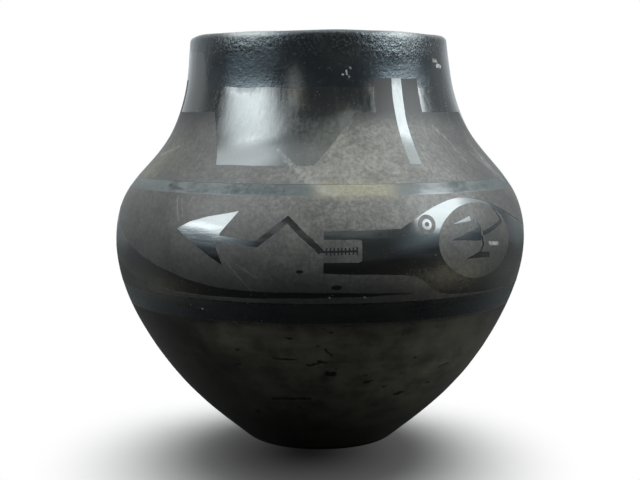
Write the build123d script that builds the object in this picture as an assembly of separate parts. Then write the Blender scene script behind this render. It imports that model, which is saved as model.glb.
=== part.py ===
from build123d import *
import math
import os

# Coil-built pottery jar: a pressed base, slanted-edge rings of clay stacked on it, a rounded rim ring,
# and a thin burnished slip over the outside and the mouth. Millimetres, +Z up, origin under the foot.

# Finished outside: the foot and its rounded heel, and the outline's levels by height and radius.
# The low belly, the turn of the shoulder and the foot of the neck are set off from the belly.
jar_height = 230.0
foot_radius = 33.0
heel_rounding = 15.5
heel_slope = 39.0
flank_height = 29.0
flank_radius = 72.5
belly_height = 119.0
belly_radius = 116.2
low_belly_drop = 52.4
low_belly_inset = 15.4
shoulder_turn_rise = 23.7
shoulder_turn_inset = 6.0
neck_foot_rise = 56.3
neck_foot_radius = 85.2
neck_radius = 76.6
neck_share = 0.4
lip_radius = 72.4
lip_lean = 6.0

# Clay
wall = 6.0
base_thickness = 8.0

# Rings: the base ends at this height and the rim ring starts this far under the lip, at the wall's middle
base_edge_height = 28.0
rim_ring_depth = 22.0
coil_count = 10
scarf_angle = 35.0

# Burnished slip: thickness, and how far it runs down inside the mouth
slip = 0.5
slip_mouth_depth = 30.0

# How finely the inner curves follow the outside one, and how far a joint's cut runs past the wall's middle
curve_steps = 24
cut_reach = 2 * wall

OUT = Vector(1, 0, 0)
UPRIGHT = 90.0


def at(radius, height):
    """A point of the section, which lies in the XZ plane."""
    return Vector(radius, 0, height)


def sloping(degrees):
    """A direction in the section that rises by this angle from level."""
    return at(math.cos(math.radians(degrees)), math.sin(math.radians(degrees)))


# The outside above the heel: one smooth curve that leaves the heel and meets the lip at set slopes.
# The shoulder's middle lies halfway, and neck_share says how far up the neck its radius is measured.
heel_centre = at(foot_radius, heel_rounding)
heel_top = heel_centre + sloping(heel_slope - UPRIGHT) * heel_rounding
flank = at(flank_radius, flank_height)
belly = at(belly_radius, belly_height)
low_belly = at(belly_radius - low_belly_inset, belly_height - low_belly_drop)
shoulder_turn = at(belly_radius - shoulder_turn_inset, belly_height + shoulder_turn_rise)
neck_foot = at(neck_foot_radius, belly_height + neck_foot_rise)
shoulder = (shoulder_turn + neck_foot) / 2
neck = at(neck_radius, neck_foot.Z + (jar_height - neck_foot.Z) * neck_share)
lip_direction = sloping(UPRIGHT + lip_lean)
lip_start = at(lip_radius, jar_height - wall / 2 * (1 + lip_direction.X))
outside = Spline(
    heel_top, flank, low_belly, belly, shoulder_turn, shoulder, neck_foot, neck, lip_start,
    tangents=[sloping(heel_slope), lip_direction],
)


def across(share):
    """The direction straight into the wall at a share of the outside curve."""
    along = outside % share
    return at(-along.Z, along.X)


def into_wall(share, depth):
    """A point at a share of the outside curve, moved into the wall by a depth."""
    return outside @ share + across(share) * depth


def outer_curve(depth):
    """The outside curve moved into the wall by a depth."""
    points = [into_wall(step / curve_steps, depth) for step in range(curve_steps + 1)]
    return Spline(*points, tangents=[sloping(heel_slope), lip_direction])


def inner_curve(depth):
    """The inside wall from the edge of the flat floor to the lip, moved into the clay by a depth."""
    points = [at(foot_radius, base_thickness - depth)]
    points += [into_wall(step / curve_steps, wall - depth) for step in range(2, curve_steps + 1)]
    return Spline(*points, tangents=[OUT, lip_direction])


def lip_arc(depth):
    """The rounded lip, moved into the clay by a depth."""
    crown = into_wall(1, wall / 2) + lip_direction * (wall / 2 - depth)
    return ThreePointArc(into_wall(1, depth), crown, into_wall(1, wall - depth))


def part_of(curve, height, keep):
    """The stretch of a curve above or below a height."""
    return split(curve, bisect_by=Plane.XY.offset(height), keep=keep).edge()


# Section of the slip, from the heel over the lip into the mouth, and of the clay behind it
mouth_height = jar_height - slip_mouth_depth
clay_outside = outer_curve(slip)
bare_inside = inner_curve(0)
mouth_slip = part_of(bare_inside, mouth_height, Keep.TOP)
mouth_back = part_of(inner_curve(slip), mouth_height, Keep.TOP)
heel_ledge = Line(outside @ 0, clay_outside @ 0)
mouth_ledge = Line(mouth_slip @ 0, mouth_back @ 0)

slip_section = make_face([
    outside, lip_arc(0), mouth_slip, mouth_ledge, mouth_back, lip_arc(slip), clay_outside, heel_ledge
])

clay_section = make_face([
    Line(at(0, 0), at(foot_radius, 0)),
    ThreePointArc(
        at(foot_radius, 0),
        heel_centre + sloping(heel_slope / 2 - UPRIGHT) * heel_rounding,
        heel_top,
    ),
    heel_ledge,
    clay_outside,
    lip_arc(slip),
    mouth_back,
    mouth_ledge,
    part_of(bare_inside, mouth_height, Keep.BOTTOM),
    Line(at(foot_radius, base_thickness), at(0, base_thickness)),
    Line(at(0, base_thickness), at(0, 0)),
])


# Scarf joints: each cut crosses the wall on a slant that is higher outside, at even steps along the wall
def share_at(height):
    """The share of the outside curve whose wall middle lies at a height."""
    low, high = 0.0, 1.0
    for _ in range(50):
        trial = (low + high) / 2
        if into_wall(trial, wall / 2).Z < height:
            low = trial
        else:
            high = trial
    return low


def joint_ends(share):
    """The inner and outer end of the cut at a share of the outside curve."""
    slant = math.radians(scarf_angle)
    inward = across(share) * math.cos(slant) - (outside % share) * math.sin(slant)
    middle = into_wall(share, wall / 2)
    return middle + inward * cut_reach, middle - inward * cut_reach


first_share = share_at(base_edge_height)
last_share = share_at(jar_height - rim_ring_depth)
joints = []
for number in range(coil_count + 1):
    joints.append(joint_ends(first_share + (last_share - first_share) * number / coil_count))


def ring(*corners):
    """The clay inside a closed outline, turned about the jar's axis."""
    zone = make_face(Polyline(*corners, close=True))
    return revolve(clay_section & zone, Axis.Z)


pieces = {}

inner, outer = joints[0]
pieces["pressed_base"] = ring(
    at(0, -cut_reach), at(outer.X, -cut_reach), outer, inner, at(0, inner.Z)
)

for number in range(coil_count):
    low_inner, low_outer = joints[number]
    high_inner, high_outer = joints[number + 1]
    pieces[f"coil_{number + 1:02d}"] = ring(low_inner, low_outer, high_outer, high_inner)

inner, outer = joints[-1]
top = jar_height + cut_reach
pieces["rim_coil"] = ring(inner, outer, at(outer.X, top), at(inner.X, top))

pieces["slip_coat"] = revolve(slip_section, Axis.Z)

os.makedirs("parts", exist_ok=True)
for name, piece in pieces.items():
    export_step(piece, f"parts/{name}.step")
    box = piece.bounding_box()
    print(f"{name}: {piece.volume / 1000:.1f} cm3, z {box.min.Z:.2f} to {box.max.Z:.2f}, r {box.max.X:.2f}")
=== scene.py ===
import math
from functools import reduce

import bpy
import numpy as np
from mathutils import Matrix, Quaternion, Vector
from mathutils.geometry import delaunay_2d_cdt


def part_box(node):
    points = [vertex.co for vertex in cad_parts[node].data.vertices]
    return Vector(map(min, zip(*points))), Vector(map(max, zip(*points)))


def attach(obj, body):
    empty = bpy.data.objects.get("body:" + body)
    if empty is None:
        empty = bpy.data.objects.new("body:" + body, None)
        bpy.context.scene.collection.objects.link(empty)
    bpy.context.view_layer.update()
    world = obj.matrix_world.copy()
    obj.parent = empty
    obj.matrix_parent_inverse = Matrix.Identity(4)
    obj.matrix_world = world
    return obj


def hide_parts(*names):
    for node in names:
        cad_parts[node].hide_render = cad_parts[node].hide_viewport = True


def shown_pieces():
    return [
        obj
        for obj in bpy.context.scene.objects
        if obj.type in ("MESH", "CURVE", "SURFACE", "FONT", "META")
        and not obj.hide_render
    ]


# Coil-built black pottery jar: a burnished slip skin over rings of bare clay, painted with matte slip that
# leaves a horned water serpent, wide panels and stripes polished. Metres, unless a comment says otherwise.
# Azimuth is in degrees: 0 faces -Y, and positive is to that viewer's right.

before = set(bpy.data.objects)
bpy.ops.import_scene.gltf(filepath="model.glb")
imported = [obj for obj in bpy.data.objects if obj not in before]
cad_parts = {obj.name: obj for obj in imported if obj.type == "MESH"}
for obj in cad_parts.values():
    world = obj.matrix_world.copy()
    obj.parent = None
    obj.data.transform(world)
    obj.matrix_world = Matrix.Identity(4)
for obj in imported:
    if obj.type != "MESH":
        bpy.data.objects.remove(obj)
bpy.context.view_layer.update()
MM = 0.001


# Small tools for shapes

def soft_step(low, high, x):
    """0 below low, 1 above high and a smooth rise between them."""
    share = np.clip((x - low) / (high - low), 0, 1)
    return share * share * (3 - 2 * share)


def swell(x, centre, width):
    """A smooth rise to 1 at the centre."""
    return np.exp(-((x - centre) / width) ** 2)


def near(azimuth, centre, width):
    """A smooth rise to 1 at an azimuth, measured the short way round."""
    return swell((azimuth - centre + 180) % 360, 180, width)


def between(x, low, high, edge):
    """1 between two values, with soft edges."""
    return soft_step(low - edge, low + edge, x) * (1 - soft_step(high - edge, high + edge, x))


def ripple(points, wavelength, stretch, seed):
    """A smooth random field of about unit size, whose waves are longer by stretch around the jar."""
    waves = 24
    chance = np.random.default_rng(seed)
    field = np.zeros(len(points))
    for _ in range(waves):
        direction = chance.normal(size=3)
        direction /= np.linalg.norm(direction)
        direction[:2] /= stretch
        field += np.sin(points @ direction * 2 * math.pi / wavelength + chance.uniform(0, 2 * math.pi))
    return field * math.sqrt(2 / waves)


class Curve:
    """A natural cubic spline through points, with its slope."""

    def __init__(self, x, y):
        self.x = np.array(x, float)
        self.y = np.array(y, float)
        step = np.diff(self.x)
        rise = np.diff(self.y) / step
        size = len(self.x)
        system = np.eye(size)
        right = np.zeros(size)
        for i in range(1, size - 1):
            system[i, i - 1:i + 2] = step[i - 1], 2 * (step[i - 1] + step[i]), step[i]
            right[i] = 6 * (rise[i] - rise[i - 1])
        self.bend = np.linalg.solve(system, right)

    def span(self, x):
        """The stretch that holds x, its length, and the shares of it that lie after and before x."""
        i = np.clip(np.searchsorted(self.x, x) - 1, 0, len(self.x) - 2)
        step = self.x[i + 1] - self.x[i]
        return i, step, (self.x[i + 1] - x) / step, (x - self.x[i]) / step

    def __call__(self, x):
        i, step, a, b = self.span(np.asarray(x, float))
        bow = (a ** 3 - a) * self.bend[i] + (b ** 3 - b) * self.bend[i + 1]
        return a * self.y[i] + b * self.y[i + 1] + bow * step ** 2 / 6

    def slope(self, x):
        i, step, a, b = self.span(np.asarray(x, float))
        bow = (3 * b ** 2 - 1) * self.bend[i + 1] - (3 * a ** 2 - 1) * self.bend[i]
        return (self.y[i + 1] - self.y[i]) / step + bow * step / 6


# The jar's section, read from the slip node: one smooth radius for each height of the outside

def vertex_values(mesh, name):
    """The three numbers of a value at every mesh point."""
    values = np.empty(len(mesh.vertices) * 3)
    mesh.vertices.foreach_get(name, values)
    return values.reshape(-1, 3)


def section_points(mesh):
    """Radius, height and outward part of the normal at every mesh point."""
    place = vertex_values(mesh, "co")
    normal = vertex_values(mesh, "normal")
    radius = np.hypot(place[:, 0], place[:, 1])
    outward = (normal[:, :2] * place[:, :2]).sum(axis=1) / radius
    return radius, place[:, 2], outward


outline_step = 4 * MM
slip_thickness = 0.5 * MM
crown_depth = 0.1 * MM
lip_depth = 15 * MM
least_outward = 0.05

slip_low, slip_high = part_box("slip_coat")
jar_height = slip_high.z
heel_height = slip_low.z
slip_radius, slip_z, slip_outward = section_points(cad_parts["slip_coat"].data)
crown_radius = slip_radius[slip_z > jar_height - crown_depth].mean()
wall = 2 * (crown_radius - slip_radius[slip_z > jar_height - lip_depth].min())
in_mouth = (slip_radius < crown_radius + wall / 4) & (slip_z > jar_height / 2)
mouth_height = slip_z[in_mouth].min()

on_outside = (slip_outward > least_outward) & ~in_mouth & (slip_z < jar_height - wall / 2)
levels = np.arange(heel_height, jar_height - wall / 2, outline_step)
outside_z = slip_z[on_outside]
nearest = np.unique([np.abs(outside_z - level).argmin() for level in levels])
nearest = nearest[np.argsort(outside_z[nearest])]
outside = Curve(outside_z[nearest], slip_radius[on_outside][nearest])
belly_radius = outside(np.linspace(heel_height, jar_height - wall, 400)).max()

# Millimetres to a degree around the belly
DEGREE = 2 * math.pi * belly_radius / 360 / MM


def sloped(z):
    """Section rows at heights of the outside: radius, height and the outward normal's two parts."""
    slope = outside.slope(z)
    length = np.hypot(1, slope)
    return np.column_stack([outside(z), z, 1 / length, -slope / length])


# Traces of the hand: the axis wanders a little, the jar is slightly out of round, and burnishing leaves
# shallow waves. The foot stays true.

foot_height = 14 * MM
free_height = 40 * MM
least_radius = 40 * MM
oval = 0.25 * MM
front_fullness = 1.2 * MM
lip_flare = 2.4 * MM
lip_waver = 0.3 * MM
waver_height = 200 * MM
burnish_height = 30 * MM
burnish_waves = 0.022 * MM
burnish_wavelength = 13 * MM
burnish_stretch = 1.6
burnish_seed = 5

# Bands: the height of the middle, and the reach up and down
oval_band = (90 * MM, 60 * MM)
fullness_band = (108 * MM, 18 * MM)
flare_band = (jar_height, 24 * MM)

# How far the axis drifts sideways, each with its band
axis_drifts = (
    (-1.0 * MM, jar_height, 26 * MM),
    (0.9 * MM, 163 * MM, 18 * MM),
    (-0.5 * MM, 80 * MM, 26 * MM),
)


def hand_shaped(points):
    """Points of a true turned jar, moved to where the potter's hands left them."""
    x, y, z = points.T
    free = soft_step(foot_height, free_height, z)
    drift = sum(amount * swell(z, *band) for amount, *band in axis_drifts)
    turn = np.arctan2(x, -y)
    radius = np.hypot(x, y)
    wander = oval * (np.sin(2 * turn + 0.6) * swell(z, *oval_band) + 0.6 * np.sin(3 * turn + 2.1))
    front = np.clip(np.cos(turn), 0, 1) ** 2
    wander = wander + front * front_fullness * swell(z, *fullness_band)
    wander = wander + front * lip_flare * swell(z, *flare_band)
    grow = 1 + free * wander / np.maximum(radius, least_radius)
    waver = lip_waver * (np.sin(2 * turn + 1.1) + 0.6 * np.sin(5 * turn) + 0.4 * np.sin(11 * turn + 0.7))
    rise = waver * soft_step(waver_height, jar_height, z)
    return np.column_stack([x * grow + free * drift, y * grow, z + rise])


def placed(azimuth, radius, z, out_r, out_z, lift):
    """Points of the skin at azimuths and section places, lifted along the outward normal."""
    turn = np.radians(azimuth)
    true = np.column_stack([radius * np.sin(turn), -radius * np.cos(turn), z])
    normal = np.column_stack([out_r * np.sin(turn), -out_r * np.cos(turn), out_z])
    waves = burnish_waves * ripple(true, burnish_wavelength, burnish_stretch, burnish_seed)
    waves = waves * soft_step(heel_height, burnish_height, z)
    return hand_shaped(true + normal * (lift + waves)[:, None])


def surface(azimuth, z, lift):
    """Points on the outside at azimuths and heights, lifted along the outward normal."""
    return placed(azimuth, *sloped(z).T, lift)


# Meshes

smooth_angle = math.radians(40)


def in_scene(name, data):
    """A new object, linked to the scene."""
    made = bpy.data.objects.new(name, data)
    bpy.context.scene.collection.objects.link(made)
    return made


def new_piece(name, points, faces, material):
    """A mesh object that rides on the jar's one body."""
    mesh = bpy.data.meshes.new(name)
    mesh.from_pydata([tuple(p) for p in points], [], faces)
    mesh.validate()
    mesh.shade_smooth()
    mesh.set_sharp_from_angle(angle=smooth_angle)
    mesh.materials.append(material)
    piece = in_scene(name, mesh)
    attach(piece, "root")
    return piece


def set_attribute(piece, name, values):
    """A number at each mesh point, for the material to read."""
    attribute = piece.data.attributes.new(name, "FLOAT", "POINT")
    attribute.data.foreach_set("value", np.asarray(values, np.float32))


def turned_faces(rows, columns):
    """Quads of a section of rows that closes on itself, turned about the axis in columns."""
    faces = []
    for row in range(rows):
        here = row * columns
        above = (row + 1) % rows * columns
        for column in range(columns):
            beside = (column + 1) % columns
            faces.append((here + column, here + beside, above + beside, above + column))
    return faces


# The panels and tabs of the painting repeat three times around. The burnished slip ends under the worn lip.
# It reaches higher over the painted tabs, and up the lip on the left and the right side of the front.
# Levels of the painting are in millimetres, and widths in degrees.

repeats = 3
tab_high = 205.3
tab_span = (20.8, 42.6)
upper_stripe = (146, 152.5)
lower_stripe = (82, 93.5)
polish_low = 82 * MM
polish_high = 200.4 * MM
polish_waver = 0.4 * MM
side_spans = ((-100, -54.5), (54, 100))
side_rise = 20 * MM


def over_tabs(azimuth):
    """1 over a pair of tabs, 0 elsewhere."""
    return between((azimuth + 360) % (360 / repeats), *tab_span, 0.8)


def polish_edge(azimuth):
    """The height at which the burnished slip ends."""
    waver = polish_waver * (np.sin(np.radians(7 * azimuth)) + np.sin(np.radians(16 * azimuth + 50)))
    sides = side_rise * sum(between(azimuth, left, right, 4) for left, right in side_spans)
    return polish_high + waver + sides + (tab_high * MM - polish_high - waver) * over_tabs(azimuth)


# Dust, residue and pits by place on the jar, with painted light on the lip and the paint. Each patch has the
# degrees around and the millimetres up of its middle, its half width and half height in the same units, and
# its strength.

def patches(azimuth, z, spots):
    """The strength of soft oval patches, at heights in millimetres."""
    found = np.zeros(len(z))
    for middle, height, half_width, half_height, strength in spots:
        found = found + strength * near(azimuth, middle, half_width) * swell(z, height, half_height)
    return found


PALED = (
    (17, 165, 16, 14, 0.30),
    (18, 139, 17, 9, 0.34),
    (68, 161, 3, 8, 0.40),
    (150, 165, 40, 16, 0.25),
    (-135, 160, 35, 15, 0.20),
)
# Residue; the first two patches, on the lip's crest, are painted highlights: pale glints where the lamps
# catch it
YELLOWED_AND_GLINTS = (
    (-30, 229.5, 9, 2.4, 2.0),
    (37, 228.5, 9, 3.2, 1.0),
    (9, 214, 8, 6, 0.03),
    (-9.8, 203, 3, 8, 0.32),
    (20.5, 199.5, 1.8, 3, 0.20),
    (-8.5, 195, 3.5, 6, 0.10),
    (9, 188, 5, 6, 0.06),
    (3, 177, 8, 9, 0.10),
    (-4, 168, 7, 8, 0.10),
    (16, 166, 15, 12, 0.15),
    (140, 165, 45, 16, 0.15),
    (-62, 163, 14, 10, 0.20),
    (-72, 155, 12, 7, 0.18),
    (36, 108, 10, 7, 0.06),
    (34, 104, 12, 8, 0.33),
    (60, 104, 9, 8, 0.07),
    (-47, 98, 14, 8, 0.10),
)
BROWNED = (
    (-26, 75, 8, 6, 0.35),
    (-8, 70, 16, 12, 0.40),
    (24, 46, 42, 34, 1.0),
    (150, 54, 50, 26, 0.8),
    (-110, 56, 40, 26, 0.45),
)
HAZED = (
    (-9.5, 195, 3, 7, 0.32),
    (-4, 181, 9, 7, 0.16),
    (50, 141, 8, 5, 0.60),
    (-10, 130, 4, 7, 0.15),
    (5, 129.5, 9, 4, 0.82),
    (70, 126, 8, 12, 0.72),
    (-72, 124, 8, 12, 0.70),
)
# Pitting on the lip, whose pale specks are painted glints
PITTED_AND_GLINTS = (
    (38, 219, 16, 6, 0.4),
    (-30, 226, 12, 4, 0.3),
    (170, 221, 60, 7, 0.5),
)


def dust_and_light_on_paint(azimuth, z):
    """How much fine grey dust has settled on the paint, most on the upper belly and the shoulder; partly
    painted light, as the paint is made paler where light falls on the upper belly, and the pale strip at the
    band's foot is painted light only.
    """
    z = z / MM
    settled = soft_step(84, 140, z) * (1 - soft_step(176, 190, z))
    facing = 0.28 + 0.52 * near(azimuth, 14, 32)
    painted_light_low_edge = 0.10 * between(z, 92, 97, 1.5)
    return np.clip(settled * facing + painted_light_low_edge + patches(azimuth, z, PALED), 0, 1)


def haze_on_polish(azimuth, z):
    """How much of that dust hides the polish: on the stripes, in the panel and on parts of the figures."""
    under_lip = 0.35 * soft_step(-5 * MM, 0, z - polish_edge(azimuth)) * near(azimuth, -29, 7)
    z = z / MM
    stripes = between(z, *upper_stripe, 1) * (1 - 0.5 * near(azimuth, 33, 8) - 0.7 * near(azimuth, -46, 4))
    stripes = stripes + 0.20 * between(z, *lower_stripe, 1)

    # the right part of the front panel, along its slanted edge
    slant = 0.9 * (z - 172)
    panel = soft_step(-16, 2, azimuth - slant) * near(azimuth, 8, 17) * between(z, 158, 190, 5)
    panel = panel * (0.22 + 0.34 * soft_step(172, 186, z)) * (1 - soft_step(12, 17, azimuth))
    return np.clip(under_lip + stripes + panel + patches(azimuth, z, HAZED), 0, 1)


def pits_and_glints_on_lip(azimuth, z):
    """How far the lip is pitted: along the crest, and further down in places. Its pale specks are painted
    glints, most where the lamps catch the crest.
    """
    z = z / MM
    # most at the two azimuths where the lamps catch the crest: painted glints
    around = 0.30 + 0.7 * near(azimuth, -32, 13) + 0.7 * near(azimuth, 35, 19)
    return np.clip(soft_step(213, 226, z) * around + patches(azimuth, z, PITTED_AND_GLINTS), 0, 1)


def residue_and_glints_at(azimuth, z):
    """How much old residue lies on the upper body and the lip, and how far the lower body is browned; along
    the lip's crest it also holds painted highlights, pale glints where the lamps catch it.
    """
    z = z / MM
    stripe = 0.75 * between(z, *upper_stripe, 0.8) * between(azimuth, -1, 21, 4)
    browned = patches(azimuth, z, BROWNED) * (1 - soft_step(81, 83, z))
    # a painted highlight along the whole crest
    crest = 0.10 * soft_step(226, 229, z)
    return np.clip(stripe + browned + crest + patches(azimuth, z, YELLOWED_AND_GLINTS), 0, 1)


# Materials

def feed(tree, socket, value):
    """Sets an input to a value, or links it from another socket."""
    if isinstance(value, bpy.types.NodeSocket):
        tree.links.new(value, socket)
    else:
        socket.default_value = value


def node(tree, kind, inputs=None, **settings):
    """A node with its settings and inputs."""
    made = tree.nodes.new("ShaderNode" + kind)
    for key, value in settings.items():
        setattr(made, key, value)
    for key, value in (inputs or {}).items():
        feed(tree, made.inputs[key], value)
    return made


def calc(tree, operation, *values):
    """The result of one sum."""
    return node(tree, "Math", dict(enumerate(values)), operation=operation).outputs[0]


def vector_calc(tree, operation, first, second):
    """The vector that comes of two vectors."""
    return node(tree, "VectorMath", {0: first, 1: second}, operation=operation).outputs[0]


def vector_measure(tree, operation, *vectors):
    """The number that comes of one or two vectors."""
    return node(tree, "VectorMath", dict(enumerate(vectors)), operation=operation).outputs["Value"]


def product(tree, *values):
    """Several values multiplied together."""
    return reduce(lambda first, second: calc(tree, "MULTIPLY", first, second), values)


def total(tree, *values):
    """Several values added together."""
    return reduce(lambda first, second: calc(tree, "ADD", first, second), values)


def shader_tree(name):
    """A new node material, its nodes, and the place on the object."""
    material = bpy.data.materials.new(name)
    material.use_nodes = True
    tree = material.node_tree
    return material, tree, node(tree, "TexCoord").outputs["Object"]


def stepped(tree, value, low, high, start=0.0, end=1.0):
    """A value mapped smoothly from low..high to start..end."""
    inputs = {"Value": value, "From Min": low, "From Max": high, "To Min": start, "To Max": end}
    return node(tree, "MapRange", inputs, interpolation_type="SMOOTHSTEP").outputs[0]


def mixed(tree, share, first, second):
    """A mix of two numbers."""
    return node(tree, "Mix", {0: share, 2: first, 3: second}).outputs[0]


def blend(tree, share, first, second):
    """A mix of two colours."""
    return node(tree, "Mix", {0: share, 6: first, 7: second}, data_type="RGBA").outputs[2]


def layered(tree, colour, *layers):
    """A colour with others laid over it, each by its share."""
    for share, above in layers:
        colour = blend(tree, share, colour, above)
    return colour


def cloud(tree, place, scale, detail=4.0, roughness=0.55, stretch=(1, 1, 1)):
    """Noise of so many features to the metre, after stretching space."""
    mapped = node(tree, "Mapping", {"Vector": place, "Scale": stretch}).outputs[0]
    inputs = {"Vector": mapped, "Scale": scale, "Detail": detail, "Roughness": roughness}
    return node(tree, "TexNoise", inputs).outputs[0]


def parts_of(tree, place):
    """The three coordinates of a place."""
    return node(tree, "SeparateXYZ", {0: place}).outputs


def read_attribute(tree, name):
    """A number that the mesh carries at each point."""
    return node(tree, "Attribute", attribute_name=name).outputs["Fac"]


def set_shader(tree, **inputs):
    """Feeds the main shader's inputs; an underscore in a name stands for a space."""
    shader = tree.nodes["Principled BSDF"]
    for key, value in inputs.items():
        feed(tree, shader.inputs[key.replace("_", " ")], value)
    return shader


def rough_surface(tree, height, depth):
    """Fine relief from a height pattern of a real depth."""
    bump = node(tree, "Bump", {"Height": height, "Distance": depth})
    set_shader(tree, Normal=bump.outputs[0])


# Marks of wear: the degrees around and the millimetres up of each one's start and end, and its width

SMEARS = (
    (-14, 169.2, -10.6, 164, 3.4),
    (-11.2, 164.8, -6.8, 159.2, 4.6),
    (-7.4, 159.8, -1, 151.2, 6),
    (-1.4, 151.8, 3.6, 146.2, 6.5),
    (11.4, 183, 9.2, 178.6, 3),
    (8.9, 178.2, 5, 171.2, 4.2),
    (5.6, 172, 3, 166.8, 5),
    (10.2, 167, 13.2, 162.7, 2.2),
    (6.6, 155.2, 9.6, 150.6, 2.4),
    (46, 180, 51, 174, 4),
    (51, 174, 54, 161.5, 3),
    (61.5, 166.5, 64.5, 160.5, 2.8),
    (63.5, 165.5, 67, 157, 2.6),
    (67, 172, 67.6, 161, 4),
    (67.8, 164, 68.2, 155.5, 6.5),
    (69, 159, 72.5, 151.5, 6.5),
    (-72, 164, -58.5, 169, 3.6),
    (158, 178, 171, 155, 7),
    (-118, 172, -104, 150, 6),
)
SCRATCHES = (
    (-42.3, 145.2, -39.1, 132.8, 1.2),
    (-40.3, 143.9, -37.9, 135, 0.9),
    (-36.4, 144.6, -37.6, 139.8, 0.9),
    (-26.7, 121.4, -17.3, 99.6, 1.2),
    (-20.8, 112.9, -15.4, 106.2, 1),
    (128, 140, 136, 118, 1),
    (-150, 136, -146, 112, 1.1),
)
DARK_SCRATCHES = (
    (-17.9, 38, -3.4, 39, 1.4),
    (-14, 63, -6.5, 62.4, 1),
    (-4, 59.4, -0.5, 60.2, 1.6),
    (1.5, 68.6, 3.4, 65.4, 1.6),
    (-9.5, 75, -7.6, 74.4, 1.5),
    (112, 52, 126, 53.5, 1.3),
    (-140, 66, -129, 64.8, 1.2),
)
SCUFFS = (
    (-48.5, 149.8, -44.6, 148.6, 4.6),
    (-44.6, 148.8, -40.8, 147.8, 3.8),
)
DOTTED = ((65, 207, 58.6, 181, 1.8),)
DOT_SPACING = 1.7 * MM
CHIPS = (
    (8.9, 207.2, 9.2, 207, 1.5),
    (10.4, 209.2, 10.6, 207.4, 1.7),
    (11.4, 206.4, 11.5, 206, 1.3),
    (11.9, 210.8, 12.1, 210.2, 1.4),
    (56.2, 215.4, 59.2, 215.3, 2.6),
    (59, 212.8, 62.8, 212.6, 3.2),
    (55.1, 224, 55.3, 223.8, 1.3),
    (-32.7, 88.3, -32.5, 88.1, 1),
    (49.2, 120, 53, 119.2, 2.8),
    (2.2, 96.9, 2.5, 96.8, 0.7),
    (11, 96.6, 11.4, 96.5, 0.8),
    (150, 203, 150.5, 202.2, 1.8),
    (-96, 210.5, -95.6, 209.8, 1.6),
)


def unrolled(tree, place, shake=1.3):
    """The place on the unrolled jar in millimetres, shaken a little so that marks have ragged edges."""
    x, y, z = parts_of(tree, place)
    around = product(tree, calc(tree, "ARCTAN2", x, product(tree, y, -1.0)), belly_radius / MM)
    level = node(tree, "CombineXYZ", {0: around, 1: product(tree, z, 1 / MM)}).outputs[0]
    noise = node(tree, "TexNoise", {"Vector": place, "Scale": 420.0, "Detail": 3.0}).outputs["Color"]
    noise = vector_calc(tree, "SUBTRACT", noise, (0.5, 0.5, 0.5))
    return vector_calc(tree, "ADD", level, vector_calc(tree, "MULTIPLY", noise, (shake, shake, 0)))


def marked(tree, spot, marks, edge=0.6):
    """1 on any of the marks, fading to 0 over this share of their half width."""
    found = 0.0
    for start_turn, start_z, end_turn, end_z, width in marks:
        foot = Vector((start_turn * DEGREE, start_z, 0))
        ahead = Vector((end_turn * DEGREE, end_z, 0)) - foot
        offset = vector_calc(tree, "SUBTRACT", spot, foot)
        along = vector_measure(tree, "DOT_PRODUCT", offset, ahead / ahead.length_squared)
        share = node(tree, "Clamp", {0: along}).outputs[0]
        nearest = node(tree, "VectorMath", {0: ahead, 3: share}, operation="SCALE").outputs[0]
        gap = vector_measure(tree, "DISTANCE", offset, nearest)
        half = width / 2
        found = calc(tree, "MAXIMUM", found, stepped(tree, gap, half * (1 - edge), half, 1.0, 0.0))
    return found


def smeared(tree, spot, fleck, smudge):
    """Strokes where dust was wiped along the surface."""
    flecked = stepped(tree, fleck, 0.3, 0.7, 0.1, 0.5)
    broken = product(tree, flecked, stepped(tree, smudge, 0.3, 0.6, 0.5, 1.0))
    return product(tree, marked(tree, spot, SMEARS, 1.0), broken)


def chipped(tree, place, spot, fleck):
    """Small ragged chips, and a row of dots down the neck."""
    chips = product(tree, marked(tree, spot, CHIPS), stepped(tree, fleck, 0.35, 0.55, 0.4, 1.0))
    waves = calc(tree, "SINE", product(tree, parts_of(tree, place)[2], 2 * math.pi / DOT_SPACING))
    gaps = stepped(tree, waves, -0.3, 0.5)
    dots = product(tree, marked(tree, spot, DOTTED), gaps, stepped(tree, fleck, 0.35, 0.6, 0.02, 0.20))
    return calc(tree, "MAXIMUM", chips, dots)


# Colours, the tint of the reflections, and patterns that several materials share: features to the metre,
# detail, roughness and stretch

BLUE_BLACK = (0.0048, 0.0056, 0.0066, 1)
BROWN_BLACK = (0.0090, 0.0083, 0.0072, 1)
# grey dust, and the colour of painted glints on the lip and painted light on the paint
GREY_DUST_AND_GLINT = (0.283, 0.283, 0.260, 1)
POLISH_DUST = (0.040, 0.052, 0.051, 1)
PALE_DUST = (0.40, 0.395, 0.35, 1)
YELLOW_DUST = (0.375, 0.340, 0.225, 1)
BROWN_CLAY = (0.265, 0.247, 0.190, 1)
# chips, and the colour of painted highlights on the lip's crest
CHIPPED_AND_GLINT = (0.46, 0.455, 0.43, 1)
LIP_BLACK = (0.0075, 0.0088, 0.0100, 1)
LIP_BROWN = (0.0120, 0.0115, 0.0105, 1)
DULL_BLACK = (0.009, 0.009, 0.0085, 1)
DULL_BROWN = (0.029, 0.028, 0.024, 1)
PIT_BLACK = (0.003, 0.003, 0.003, 1)
DARK_PAINT = (0.013, 0.0138, 0.014, 1)
WORN_PAINT = (0.021, 0.022, 0.0215, 1)
DARK_CLAY = (0.022, 0.020, 0.018, 1)
PALE_CLAY = (0.052, 0.046, 0.038, 1)
CLAY_GRAINS = (0.10, 0.088, 0.07, 1)
POLISH_TINT = (0.92, 0.985, 1.0, 1)
LIP_TINT = (0.76, 0.91, 1.0, 1)

FLECKS = (420, 3, 0.6)
SMUDGES = (34, 5, 0.6)
STROKES_ROUND = (380, 3, 0.6, (0.16, 0.16, 1))


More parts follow.
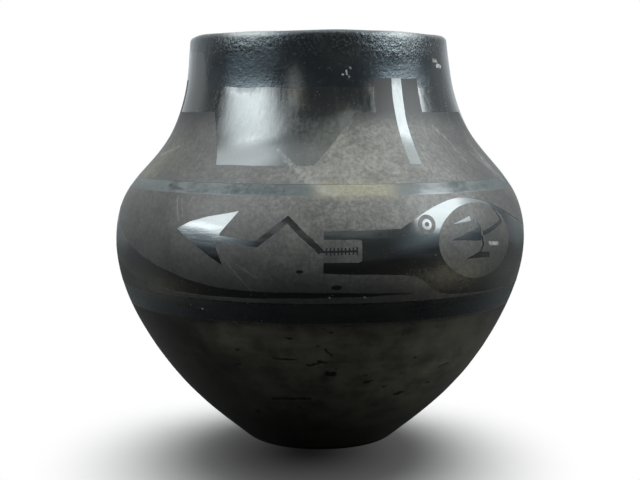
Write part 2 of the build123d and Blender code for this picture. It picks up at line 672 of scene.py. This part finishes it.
def burnished_slip():
    """Stone-polished black slip with fine strokes, smudges, dust, specks and a few chips."""
    material, tree, place = shader_tree("burnished_slip")
    spot = unrolled(tree, place)
    strokes_up = cloud(tree, place, 420, 3, 0.6, (1, 1, 0.06))
    strokes_round = cloud(tree, place, *STROKES_ROUND)
    smudge = cloud(tree, place, *SMUDGES)
    blotch = cloud(tree, place, 15, 3, 0.5)
    fleck = cloud(tree, place, *FLECKS)
    grain = cloud(tree, place, 900, 3, 0.6)
    neck = stepped(tree, parts_of(tree, place)[2], 150 * MM, 185 * MM)
    strokes = mixed(tree, neck, strokes_round, strokes_up)

    mottled = stepped(tree, fleck, 0.3, 0.7, 0.75, 1.1)
    mottled = product(tree, mottled, stepped(tree, smudge, 0.3, 0.6, 0.65, 1.05))
    haze = product(tree, read_attribute(tree, "haze"), mottled)
    haze = total(tree, haze, product(tree, neck, stepped(tree, fleck, 0.42, 0.75, 0, 0.10)))
    smears = smeared(tree, spot, fleck, smudge)
    residue = product(tree, read_attribute(tree, "residue"), mottled)
    residue = product(tree, residue, stepped(tree, grain, 0.35, 0.65, 0.8, 1.15))
    scuffs = product(tree, marked(tree, spot, SCUFFS, 1.0), stepped(tree, fleck, 0.35, 0.6, 0.5, 1.0))
    specks = stepped(tree, grain, 0.66, 0.74, 0, 0.6)
    chips = chipped(tree, place, spot, fleck)
    colour = blend(tree, stepped(tree, blotch, 0.35, 0.7), BLUE_BLACK, BROWN_BLACK)
    colour = layered(tree, colour, (haze, POLISH_DUST), (residue, YELLOW_DUST), (scuffs, BLUE_BLACK))
    colour = layered(tree, colour, (smears, PALE_DUST), (specks, GREY_DUST_AND_GLINT), (chips, CHIPPED_AND_GLINT))

    gloss = stepped(tree, strokes, 0.3, 0.7, 0.15, 0.23)
    gloss = total(tree, gloss, stepped(tree, smudge, 0.5, 0.8, 0, 0.06))
    dusty = product(tree, calc(tree, "MAXIMUM", haze, total(tree, residue, smears)), 0.65)
    dusty = product(tree, dusty, stepped(tree, scuffs, 0, 1, 1.0, 0.25))
    gloss = total(tree, gloss, dusty, product(tree, chips, 0.4))
    rough_surface(tree, total(tree, strokes, product(tree, chips, -6.0)), 0.05 * MM)
    set_shader(tree, Base_Color=colour, Roughness=gloss, IOR=2.3, Specular_Tint=POLISH_TINT)
    return material


def worn_lip():
    """The lip's slip, rubbed dull by handling and pitted along its crest, with painted glints: pale specks in
    the pits and pale patches on the crest.
    """
    material, tree, place = shader_tree("worn_lip")
    spot = unrolled(tree, place)
    smudge = cloud(tree, place, 60, 4, 0.6)
    fleck = cloud(tree, place, *FLECKS)
    pitting = cloud(tree, place, 440, 3, 0.65)
    strokes = cloud(tree, place, *STROKES_ROUND)
    grain = cloud(tree, place, 850, 2, 0.5)
    worn = read_attribute(tree, "pits")
    chips = chipped(tree, place, spot, fleck)
    # pale specks in the pits: painted glints
    pit_glints = product(tree, worn, stepped(tree, grain, 0.50, 0.64, 0, 0.50))
    pit_glints = total(tree, pit_glints, stepped(tree, pitting, 0.58, 0.72, 0, 0.16))
    colour = blend(tree, stepped(tree, smudge, 0.35, 0.7), LIP_BLACK, LIP_BROWN)
    # residue, and on the crest painted highlights: pale patches where the lamps catch it
    dust = product(tree, read_attribute(tree, "residue"), stepped(tree, pitting, 0.30, 0.50, 0.5, 1.0))
    colour = layered(tree, colour, (pit_glints, GREY_DUST_AND_GLINT), (dust, CHIPPED_AND_GLINT), (chips, CHIPPED_AND_GLINT))
    gloss = total(tree, stepped(tree, smudge, 0.3, 0.7, 0.20, 0.30), product(tree, chips, 0.4))
    pitted = product(tree, pitting, stepped(tree, worn, 0, 1, 2.6, 12.0))
    relief = total(tree, pitted, product(tree, strokes, 1.6), product(tree, chips, -6.0))
    rough_surface(tree, relief, 0.05 * MM)
    set_shader(tree, Base_Color=colour, Roughness=gloss, IOR=1.95, Specular_Tint=LIP_TINT)
    return material


def dull_slip():
    """The lower body: the same slip, browner, little polished, pitted and mottled from the fire."""
    material, tree, place = shader_tree("dull_slip")
    spot = unrolled(tree, place, shake=2.5)
    smudge = cloud(tree, place, *SMUDGES)
    patchy = cloud(tree, place, 85, 5, 0.65)
    grain = cloud(tree, place, 1100, 2, 0.5)
    strokes = cloud(tree, place, 300, 3, 0.6, (0.16, 0.16, 1))
    browned = read_attribute(tree, "residue")
    pitted = cloud(tree, place, 190, 2, 0.5, (0.45, 0.45, 1))
    pits = stepped(tree, total(tree, pitted, product(tree, browned, 0.035)), 0.70, 0.75)
    pits = calc(tree, "MAXIMUM", pits, marked(tree, spot, DARK_SCRATCHES))

    tone = total(tree, product(tree, smudge, 0.4), product(tree, patchy, 0.4), product(tree, strokes, 0.2))
    colour = blend(tree, stepped(tree, tone, 0.36, 0.64), DULL_BLACK, DULL_BROWN)
    browned = product(tree, browned, stepped(tree, tone, 0.36, 0.64, 0.35, 1.0))
    colour = layered(tree, colour, (browned, BROWN_CLAY), (product(tree, pits, 0.85), PIT_BLACK))
    relief = total(tree, strokes, grain, product(tree, pits, -8.0))
    rough_surface(tree, relief, 0.015 * MM)
    gloss = stepped(tree, tone, 0.3, 0.7, 0.36, 0.50)
    set_shader(tree, Base_Color=colour, Roughness=gloss, IOR=1.5)
    return material


def matte_paint():
    """The dull painted slip, with brush marks, dust, smears and scratches."""
    material, tree, place = shader_tree("matte_paint")
    spot = unrolled(tree, place)
    smudge = cloud(tree, place, 30, 5, 0.6)
    brush = cloud(tree, place, 260, 3, 0.6, (0.12, 0.12, 1))
    grain = cloud(tree, place, 1600, 2, 0.5)
    fleck = cloud(tree, place, *FLECKS)
    speckle = cloud(tree, place, 850, 3, 0.7)
    patchy = cloud(tree, place, 85, 4, 0.6)
    tone = total(tree, product(tree, smudge, 0.7), product(tree, brush, 0.3))
    colour = blend(tree, stepped(tree, tone, 0.3, 0.7), DARK_PAINT, WORN_PAINT)

    mottled = stepped(tree, fleck, 0.3, 0.7, 0.62, 1.1)
    mottled = product(tree, mottled, stepped(tree, smudge, 0.25, 0.7, 0.65, 1.0))
    mottled = product(tree, mottled, stepped(tree, speckle, 0.32, 0.68, 0.80, 1.18))
    mottled = product(tree, mottled, stepped(tree, patchy, 0.3, 0.7, 0.80, 1.2))
    # haze: dust, and painted light on the upper belly and at the band's foot
    haze = product(tree, read_attribute(tree, "haze"), mottled)
    residue = product(tree, read_attribute(tree, "residue"), mottled)
    smears = smeared(tree, spot, fleck, smudge)
    scratches = product(tree, marked(tree, spot, SCRATCHES, 0.9), stepped(tree, fleck, 0.3, 0.6, 0.1, 0.3))
    chips = chipped(tree, place, spot, fleck)
    colour = layered(tree, colour, (haze, GREY_DUST_AND_GLINT), (residue, YELLOW_DUST), (smears, PALE_DUST))
    colour = layered(tree, colour, (scratches, GREY_DUST_AND_GLINT), (chips, CHIPPED_AND_GLINT))
    relief = total(tree, grain, brush, speckle, product(tree, scratches, -4.0))
    rough_surface(tree, relief, 0.012 * MM)
    gloss = stepped(tree, tone, 0.3, 0.7, 0.48, 0.56)
    set_shader(tree, Base_Color=colour, Roughness=gloss, IOR=1.65)
    return material


def bare_clay():
    """Smoke-blackened clay, scraped and smoothed by hand."""
    material, tree, place = shader_tree("bare_clay")
    blotch = cloud(tree, place, 25, 5, 0.6)
    grain = cloud(tree, place, 700, 4, 0.6)
    wiped = cloud(tree, place, 160, 3, 0.6, (0.12, 0.12, 1))
    colour = blend(tree, stepped(tree, blotch, 0.3, 0.7), DARK_CLAY, PALE_CLAY)
    colour = blend(tree, stepped(tree, grain, 0.62, 0.75, 0, 0.5), colour, CLAY_GRAINS)
    rough_surface(tree, total(tree, wiped, product(tree, grain, 0.4)), 0.25 * MM)
    set_shader(tree, Base_Color=colour, Roughness=stepped(tree, grain, 0.3, 0.7, 0.62, 0.80))
    return material


slip_material = burnished_slip()
lip_material = worn_lip()
dull_material = dull_slip()
paint_material = matte_paint()
clay_material = bare_clay()


# The slip's skin, with a back face: dull from the heel to the painted bands, burnished from there up, and
# worn over the lip and down into the mouth

skin_columns = 288
skin_rows = 190
lip_rows = 16
mouth_rows = 14
back_every = 4

# How far from the edge of the polish the rows of the skins follow its rise. It is more than the rise, so that
# no rows cross.
polish_bend = 26 * MM


def side_rows(low, high):
    """Section rows of the outside between two heights, evenly spaced along the wall."""
    fine = np.linspace(low, high, 2000)
    run = np.concatenate([[0], np.cumsum(np.hypot(np.diff(fine), np.diff(outside(fine))))])
    count = int(skin_rows * (high - low) / jar_height)
    return sloped(np.interp(np.linspace(0, run[-1], count), run, fine))


def mouth_of(edge):
    """Section rows from the last row of the outside over the lip and down to the mouth's ledge."""
    edge_r, edge_z, out_r, out_z = edge
    bend = np.linspace(0, math.pi, lip_rows + 1)[1:]
    lip_r = out_r * np.cos(bend) - out_z * np.sin(bend)
    lip_z = out_z * np.cos(bend) + out_r * np.sin(bend)
    centre_r = edge_r - out_r * wall / 2
    centre_z = edge_z - out_z * wall / 2
    lip = np.column_stack([centre_r + wall / 2 * lip_r, centre_z + wall / 2 * lip_z, lip_r, lip_z])
    inner = sloped(np.linspace(edge_z, mouth_height + wall * out_z, mouth_rows + 1)[1:])
    inner[:, :2] -= wall * inner[:, 2:]
    inner[:, 2:] *= -1
    return np.vstack([lip, inner])


def slip_skin(name, front, material):
    """A closed coat of slip behind the given section rows, bent to the edge of the polish."""
    back = front[::-1][::back_every].copy()
    back[-1] = front[0]
    section = np.vstack([front, back])
    lift = np.concatenate([np.zeros(len(front)), np.full(len(back), -slip_thickness)])
    turn = np.linspace(-180, 180, skin_columns, endpoint=False)
    azimuth = np.tile(turn, len(section))
    radius, z, out_r, out_z = np.repeat(section, skin_columns, axis=0).T
    bent = np.clip(1 - np.abs(z - polish_high) / polish_bend, 0, 1) * (out_r > 0)
    moved = bent > 0
    z[moved] += (bent * (polish_edge(azimuth) - polish_high))[moved]
    radius[moved], z[moved], out_r[moved], out_z[moved] = sloped(z[moved]).T
    points = placed(azimuth, radius, z, out_r, out_z, np.repeat(lift, skin_columns))
    piece = new_piece(name, points, turned_faces(len(section), skin_columns), material)
    set_attribute(piece, "residue", residue_and_glints_at(azimuth, z))
    set_attribute(piece, "haze", haze_on_polish(azimuth, z))
    set_attribute(piece, "pits", pits_and_glints_on_lip(azimuth, z))
    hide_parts("slip_coat")
    return piece


lip_side = side_rows(polish_high, jar_height - wall / 2)
slip_skin("worn_lip_skin", np.vstack([lip_side, mouth_of(lip_side[-1])]), lip_material)
burnished_skin = slip_skin("burnished_skin", side_rows(polish_low, polish_high), slip_material)
slip_skin("dull_skin", side_rows(heel_height, polish_low), dull_material)


# Painting: outlines are drawn on the unrolled jar, in degrees around and millimetres up. A later shape covers
# the earlier ones, and the film of matte paint is left where the last shape is matte.

film_lift = 0.09 * MM
film_sink = 0.06 * MM
film_mesh = 3.0
merge_distance = 1e-5
end_tolerance = 1e-4
outline_spacing = 0.9
oval_points = 64
brush_wobble = 0.10
half_turn = 180 * DEGREE
MATTE = True
POLISHED = False


def flat(points):
    """Degrees and millimetres on the unrolled jar, in millimetres both ways."""
    return np.asarray(points, float) * (DEGREE, 1)


def dense(loop):
    """A closed outline with points close enough to follow the jar's curve, and a brush's slight wobble."""
    closed = np.vstack([loop, loop[:1]])
    points = []
    for start, end in zip(closed[:-1], closed[1:]):
        count = max(1, int(np.hypot(*(end - start)) / outline_spacing))
        points.append(start + (end - start) * np.arange(count)[:, None] / count)
    points = np.vstack(points)
    u, v = points.T
    sway = np.sin(u / 3.1 + v / 4.7), np.sin(u / 4.3 - v / 2.9 + 1)
    return points + brush_wobble * np.column_stack(sway)


def polygon(*points):
    """A straight-edged outline."""
    return flat(points)


def flowing(points):
    """A smooth line through points, as one stroke of the brush."""
    points = flat(points)
    run = np.concatenate([[0], np.cumsum(np.hypot(*np.diff(points, axis=0).T))])
    along = np.linspace(0, run[-1], max(8, int(run[-1] / outline_spacing)))
    return np.column_stack([Curve(run, points[:, 0])(along), Curve(run, points[:, 1])(along)])


def oval_shape(centre, half_width, half_height):
    """An ellipse with half axes in millimetres."""
    turn = np.linspace(0, 2 * math.pi, oval_points, endpoint=False)
    return flat([centre]) + np.column_stack([half_width * np.cos(turn), half_height * np.sin(turn)])


def stroke(width, *points):
    """A line of even width with mitred corners."""
    line = flat(points)
    ahead = np.diff(line, axis=0)
    ahead /= np.hypot(*ahead.T)[:, None]
    side = np.column_stack([-ahead[:, 1], ahead[:, 0]])
    mitre = np.vstack([side[:1], side[:-1] + side[1:], side[-1:]])
    reach = width / (mitre ** 2).sum(axis=1)
    reach[[0, -1]] /= 2
    halves = mitre * reach[:, None]
    return np.vstack([line + halves, (line - halves)[::-1]])


def contains(loop, points):
    """Whether each point lies inside a closed outline."""
    inside = np.zeros(len(points), bool)
    u, v = points.T
    for (u0, v0), (u1, v1) in zip(loop, np.roll(loop, -1, axis=0)):
        if v0 != v1:
            crosses = (v0 > v) != (v1 > v)
            inside ^= crosses & (u < u0 + (v - v0) * (u1 - u0) / (v1 - v0))
    return inside


def film_border(across, up):
    """The closed edge of a film whose mesh has points at these places across and up."""
    below = [(u, up[0]) for u in across[:-1]]
    right = [(across[-1], v) for v in up[:-1]]
    above = [(u, up[-1]) for u in across[:0:-1]]
    left = [(across[0], v) for v in up[:0:-1]]
    return np.array(below + right + above + left)


def wrapped(shapes):
    """The outlines of shapes, drawn again at the other end where they run past the back of the jar."""
    drawn = []
    for tone, shape in shapes:
        for lap in (-2 * half_turn, 0, 2 * half_turn):
            loop = dense(shape) + (lap, 0)
            if loop[:, 0].max() > -half_turn and loop[:, 0].min() < half_turn:
                drawn.append((tone, loop))
    return drawn


def cut_along(loops, grid):
    """The points and triangles of a flat mesh that is cut along closed outlines."""
    edges = []
    start = 0
    for loop in loops:
        edges += [(start + i, start + (i + 1) % len(loop)) for i in range(len(loop))]
        start += len(loop)
    points = [Vector(p) for p in np.vstack(loops + [grid])]
    cut = delaunay_2d_cdt(points, edges, [], 0, merge_distance)
    return np.array([tuple(p) for p in cut[0]]), np.array(cut[2])


def joined_at_back(place, faces):
    """The used points and the triangles, after points at the two ends that share a height became one."""
    same = {}
    join = np.arange(len(place))
    for i in np.flatnonzero(np.abs(np.abs(place[:, 0]) - half_turn) < end_tolerance):
        join[i] = same.setdefault(round(place[i, 1], 3), i)
    used, faces = np.unique(join[faces], return_inverse=True)
    faces = faces.reshape(-1, 3)
    whole = (faces != np.roll(faces, -1, axis=1)).all(axis=1)
    return place[used], faces[whole]


def painted_film(name, low, high, ground, shapes):
    """A closed film of matte paint between two heights, right around the jar."""
    across = np.linspace(-half_turn, half_turn, int(2 * half_turn / film_mesh) + 1)
    up = np.linspace(low, high, int((high - low) / film_mesh) + 1)
    grid = np.stack(np.meshgrid(across[1:-1], up[1:-1]), axis=-1).reshape(-1, 2)
    drawn = wrapped(shapes)
    place, faces = cut_along([film_border(across, up)] + [loop for tone, loop in drawn], grid)
    middle = place[faces].mean(axis=1)
    matte = np.full(len(faces), ground)
    for tone, loop in drawn:
        matte[contains(loop, middle)] = tone
    matte &= (np.abs(middle[:, 0]) < half_turn) & (middle[:, 1] > low) & (middle[:, 1] < high)
    place, faces = joined_at_back(place, faces[matte])

    azimuth, z = (place / (DEGREE, 1)).T
    z = z * MM
    count = len(z)
    top = surface(azimuth, z, np.full(count, film_lift))
    under = surface(azimuth, z, np.full(count, -film_sink))
    sides = {(a, b) for face in faces for a, b in zip(face, np.roll(face, -1))}
    rims = [(b, a, a + count, b + count) for a, b in sides if (b, a) not in sides]
    every = [tuple(f) for f in faces] + [tuple(f[::-1] + count) for f in faces] + sorted(rims)
    piece = new_piece(name, np.vstack([top, under]), every, paint_material)
    set_attribute(piece, "residue", np.tile(residue_and_glints_at(azimuth, z), 2))
    set_attribute(piece, "haze", np.tile(dust_and_light_on_paint(azimuth, z), 2))


# Main band: the serpent's head, its body around the jar to a thin tail, and its tongue with an arrow's head

band_low = 93.5
band_high = 146.4

serpent_top = flowing([
    (20.4, 130.3), (30, 139.8), (39, 143.9), (47, 143.0), (62, 134), (90, 121), (125, 128), (160, 141),
    (200, 129), (240, 129), (268, 138), (285, 129), (300, 117), (316, 107.6), (330, 101.4), (360, 99.2),
    (384, 97.6),
])
serpent_bottom = flowing([
    (20.4, 107.4), (26, 104.6), (30.5, 98.4), (37, 95.4), (46, 94.6), (90, 95.5), (125, 104), (160, 119),
    (200, 106), (240, 107), (268, 117), (285, 109), (298, 101.8), (315, 97), (330, 95.6), (360, 96.4),
    (384, 97.2),
])
serpent = np.vstack([polygon((0.9, 108.9)), serpent_bottom, serpent_top[::-1], polygon((0.9, 129.4))])

mouth = polygon((0.4, 114.3), (9.4, 114.3), (10.2, 115.2), (10.2, 124.7), (9.4, 125.6), (0.4, 125.6))
tooth_places = np.linspace(1.6, 9.0, 9)[::-1]
teeth = [(POLISHED, stroke(0.75, (place, 118.0), (place, 121.7))) for place in tooth_places]
arrow = polygon(
    (-39.4, 128.9), (-35.2, 132.6), (-30.0, 135.6), (-21.1, 139.0),
    (-25.6, 127.4), (-26.6, 121.2), (-24.6, 111.8),
)
eye = (27.8, 131.9)
horn_disc = (45.3, 122.0)

main_shapes = [
    (POLISHED, serpent),
    (MATTE, mouth),
    (POLISHED, stroke(1.1, (0.2, 119.8), (9.2, 119.8))),
    *teeth,
    (POLISHED, arrow),
    (POLISHED, stroke(3.0, (-26.5, 125.2), (-15.6, 122.9), (-8.0, 135.2), (0.3, 119.6))),
    (MATTE, oval_shape(eye, 5.3, 4.9)),
    (POLISHED, oval_shape(eye, 3.0, 2.8)),
    (MATTE, oval_shape(eye, 1.3, 1.2)),

    # the disc behind the head, and what is drawn on it
    (MATTE, oval_shape(horn_disc, 29.4, 19.4)),
    (POLISHED, polygon((35.8, 131.4), (42.6, 134.9), (42.8, 132.2))),
    (POLISHED, polygon((34.7, 123.2), (45.2, 128.9), (46.4, 125.4), (45.6, 121.9))),
    (POLISHED, stroke(1.1, (44.4, 132.6), (46.0, 127.0), (46.4, 119.4), (44.6, 114.8))),
    (POLISHED, stroke(2.4, (46.6, 125.4), (51.4, 127.4), (56.4, 130.4))),
    (POLISHED, stroke(0.9, (50.0, 140.8), (53.6, 137.4), (56.6, 130.6))),
    (POLISHED, polygon((39.6, 113.2), (44.6, 116.2), (49.0, 115.5), (49.0, 112.8))),
    (MATTE, oval_shape((46.2, 126.0), 0.9, 1.9)),

    # two spots that the brush left out
    (POLISHED, oval_shape((4.2, 101.8), 2.6, 1.4)),
    (POLISHED, oval_shape((-4.9, 109.9), 1.7, 0.9)),
]
painted_film("matte_main_band", band_low, band_high, MATTE, main_shapes)


# Shoulder: a matte band with wide polished panels and, between them, pairs of tabs parted by a slit

shoulder_low = 152.0
shoulder_high = 187.6
panel_foot = 160.8
panel_top = shoulder_high + 1
slit_foot = 161.2
slit_top = tab_high + 1
tab_edges = ((22.0, 29.9), (34.7, 43.2))

ground = polygon((-181, 151), (181, 151), (181, shoulder_high), (-181, shoulder_high))
tabs = []
for left, right in tab_edges:
    tabs.append(polygon((left - 1, 180), (right - 0.6, 180), (right, tab_high), (left, tab_high)))
slit = polygon((28.3, slit_foot), (32.7, slit_foot), (34.7, slit_top), (29.9, slit_top))
panel = polygon((-34.4, panel_foot), (-2.5, panel_foot), (13.5, panel_top), (-44.8, panel_top))

shoulder_shapes = [(MATTE, ground)]
for number in range(repeats):
    along = (360 / repeats * number * DEGREE, 0)
    shoulder_shapes += [(MATTE, tab + along) for tab in tabs]
    shoulder_shapes += [(POLISHED, slit + along), (POLISHED, panel + along)]
painted_film("matte_shoulder_band", shoulder_low, tab_high + 1.5, POLISHED, shoulder_shapes)


# Bare clay: the base keeps its own shape, and each ring is hand-shaped with the skin over it

def clay_ring(name, cad_node):
    """A ring of the wall, moved as the potter's hands left it."""
    mesh = cad_node.data.copy()
    mesh.vertices.foreach_set("co", hand_shaped(vertex_values(mesh, "co")).ravel())
    mesh.materials.clear()
    mesh.materials.append(clay_material)
    ring = in_scene(name + "_clay", mesh)
    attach(ring, "root")
    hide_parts(name)


for name, cad_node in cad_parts.items():
    if name == "pressed_base":
        cad_node.data.materials.clear()
        cad_node.data.materials.append(clay_material)
    elif name != "slip_coat":
        clay_ring(name, cad_node)


# Stage: a pale floor that keeps the shadow and has a painted shadow around the foot, tall soft lamps beside
# the camera and a dim room around

WHITE = (1, 1, 1, 1)
FLOOR_WHITE = (0.86, 0.86, 0.86, 1)
CARD_BLACK = (0.07, 0.07, 0.07, 1)
CARD_WHITE = (0.80, 0.79, 0.76, 1)
ROOM_TINT = (0.90, 0.96, 1.0, 1)
DAYLIGHT = (0.95, 0.99, 1.0)
BLUE_DAYLIGHT = (0.66, 0.88, 1.0)

card_lift = 0.2 * MM
# Where the floor's painted shadow lies: its middle, how much it is drawn out in depth, the reach of its
# darkest core, and the distances over which it pales to white
shade_middle = (-7.2 * MM, -37.5 * MM, 0)
shade_squeeze = (1, 0.727, 1)
shade_core = 70 * MM
shade_edge = (53 * MM, 152 * MM)


def flat_sheet(name, z, material):
    """A level square of the stage."""
    mesh = bpy.data.meshes.new(name)
    reach = 2.0
    corners = [(-reach, -reach, z), (reach, -reach, z), (reach, reach, z), (-reach, reach, z)]
    mesh.from_pydata(corners, [], [(0, 1, 2, 3)])
    mesh.materials.append(material)
    sheet = in_scene(name, mesh)
    return sheet


def ray_kinds(tree):
    """Whether a ray comes straight from the eye, and whether it was mirrored."""
    seen = node(tree, "LightPath").outputs
    return seen["Is Camera Ray"], calc(tree, "MAXIMUM", seen["Is Glossy Ray"], seen["Is Transmission Ray"])


def pale_floor():
    """A floor that is lit near the jar and plain white to the eye further out. Between, eye and mirror rays
    see white mixed over the lit floor by the distance from the shade's middle: a painted shadow, darkest at
    its middle, around the real shadow.
    """
    material, tree, place = shader_tree("floor")
    offset = vector_calc(tree, "SUBTRACT", place, shade_middle)
    distance = vector_measure(tree, "LENGTH", vector_calc(tree, "MULTIPLY", offset, shade_squeeze))
    straight, mirrored = ray_kinds(tree)
    # Painted shadow: the share of plain white laid over the lit floor, least at the shade's middle and whole
    # past its edge
    close = stepped(tree, distance, 0.0, shade_core, 0.008, 0.09)
    far = stepped(tree, distance, *shade_edge, close, 1.0)
    far = product(tree, far, calc(tree, "MAXIMUM", straight, mirrored))
    glow = node(tree, "Emission", {"Color": WHITE, "Strength": 1.0}).outputs[0]
    shader = set_shader(tree, Base_Color=FLOOR_WHITE, Roughness=0.9, Specular_IOR_Level=0.1)
    seen = node(tree, "MixShader", {0: far, 1: shader.outputs[0], 2: glow}).outputs[0]
    feed(tree, tree.nodes["Material Output"].inputs["Surface"], seen)
    return flat_sheet("floor", 0.0, material)


def dark_card():
    """A dark card on the floor, unseen by the eye, that keeps the floor's glare off the jar's underside."""
    material, tree, place = shader_tree("dark_card")
    behind = parts_of(tree, place)[1]
    colour = blend(tree, stepped(tree, behind, -0.15, 0.15), CARD_BLACK, CARD_WHITE)
    set_shader(tree, Base_Color=colour, Roughness=0.9, Specular_IOR_Level=0.1)
    card = flat_sheet("dark_card", card_lift, material)
    card.visible_camera = False
    card.visible_shadow = False


def dim_room():
    """White to the eye; otherwise a dim room with a paler wall behind."""
    world = bpy.data.worlds.new("studio")
    world.use_nodes = True
    bpy.context.scene.world = world
    tree = world.node_tree
    behind = parts_of(tree, node(tree, "TexCoord").outputs["Generated"])[1]
    room = stepped(tree, behind, 0.10, 0.55, 0.10, 0.36)
    backdrop = stepped(tree, behind, 0.65, 0.99, room, 1.0)
    straight, mirrored = ray_kinds(tree)
    around = mixed(tree, mirrored, room, backdrop)
    sky = tree.nodes["Background"].inputs
    feed(tree, sky["Strength"], mixed(tree, straight, around, 1.0))
    feed(tree, sky["Color"], blend(tree, straight, ROOM_TINT, WHITE))


def lit_group(name, pieces):
    """A collection that lamps can be limited to."""
    group = bpy.data.collections.new(name)
    for piece in pieces:
        group.objects.link(piece)
    return group


def fade_edges(lamp, fades, falls):
    """Dims a lamp over shares of its half sizes at the edges, and to shares of its light back and up."""
    lamp.use_nodes = True
    tree = lamp.node_tree
    shares = parts_of(tree, node(tree, "NewGeometry").outputs["Parametric"])
    to_back = stepped(tree, shares[0], 0.0, 0.7, falls[0], 1.0)
    to_top = stepped(tree, shares[1], 0.3, 1.0, 1.0, falls[1])
    strength = product(tree, to_back, to_top)
    for share, fade in zip(shares, fades):
        from_edge = calc(tree, "MINIMUM", share, calc(tree, "SUBTRACT", 1.0, share))
        strength = product(tree, stepped(tree, from_edge, 0.0, fade / 2), strength)
    feed(tree, tree.nodes["Emission"].inputs["Strength"], strength)


def soft_lamp(
    name, azimuth, elevation, width, height, radiance, lit,
    roll=0, fades=(0.6, 0.6), falls=(1, 1), colour=DAYLIGHT,
):
    """A flat lamp that faces the jar. Its width and height are angles, seen from there."""
    distance = 1.3
    width = width / (1 - fades[0] / 2)
    height = height / (1 - fades[1] / 2)
    turn = math.radians(azimuth)
    rise = math.radians(elevation)
    away = Vector((math.sin(turn) * math.cos(rise), -math.cos(turn) * math.cos(rise), math.sin(rise)))
    lamp = bpy.data.lights.new(name, "AREA")
    lamp.shape = "RECTANGLE"
    lamp.size = 2 * distance * math.tan(math.radians(width / 2))
    lamp.size_y = 2 * distance * math.tan(math.radians(height / 2))
    lamp.energy = radiance * math.pi * lamp.size * lamp.size_y
    lamp.color = colour
    fade_edges(lamp, fades, falls)
    holder = in_scene(name, lamp)
    holder.location = away * distance + Vector((0, 0, jar_height / 2))
    facing = away.to_track_quat("Z", "Y") @ Quaternion((0, 0, 1), math.radians(roll))
    holder.rotation_euler = facing.to_euler()
    holder.visible_camera = False
    holder.light_linking.receiver_collection = lit


def photo_camera():
    """The camera at the photograph's angle."""
    aim = Vector((0, 0, 114.1 * MM))
    distance = 778.1 * MM
    elevation = math.radians(5.6)
    lens = bpy.data.cameras.new("camera")
    lens.lens = 75.94
    lens.sensor_width = 36.0
    lens.sensor_fit = "HORIZONTAL"
    lens.clip_start = 0.01
    camera = in_scene("camera", lens)
    away = Vector((0, -math.cos(elevation), math.sin(elevation)))
    camera.location = aim + away * distance
    camera.rotation_euler = away.to_track_quat("Z", "Y").to_euler()
    bpy.context.scene.camera = camera


jar_only = lit_group("jar_only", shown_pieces())
polish_only = lit_group("polish_only", [burnished_skin])
floor_only = lit_group("floor_only", [pale_floor()])
dark_card()
dim_room()
soft_lamp("left_lamp", -63, 35.5, 36, 35, 5.5, jar_only, roll=8, fades=(0.8, 0.3), falls=(0.55, 0.65))
soft_lamp("left_lamp_top", -90, 58, 36, 22, 2.3, jar_only, roll=8)
soft_lamp("left_lamp_low", -66, 17.0, 30, 6.2, 5.0, polish_only, fades=(0.4, 0.6))
soft_lamp("left_lamp_foot", -62, 11.5, 42, 9, 0.60, jar_only, colour=BLUE_DAYLIGHT)
soft_lamp("right_lamp", 76, 32, 37, 30, 5.9, jar_only, fades=(0.3, 0.3))
soft_lamp("right_lamp_top", 97, 52, 36, 16, 2.4, jar_only)
soft_lamp("right_lamp_foot", 73, 11.5, 52, 9, 0.50, jar_only, colour=BLUE_DAYLIGHT)
soft_lamp("right_side_lamp", 130, 38, 40, 22, 0.35, jar_only)
soft_lamp("left_side_lamp", -126, 14, 26, 40, 0.19, jar_only)
soft_lamp("ceiling_lamp", 180, 88, 56, 56, 0.9, jar_only, falls=(1, 0.65))
soft_lamp("floor_lamp", 180, 63, 62, 46, 3.5, floor_only)
photo_camera()
bpy.context.scene.view_settings.view_transform = "Standard"
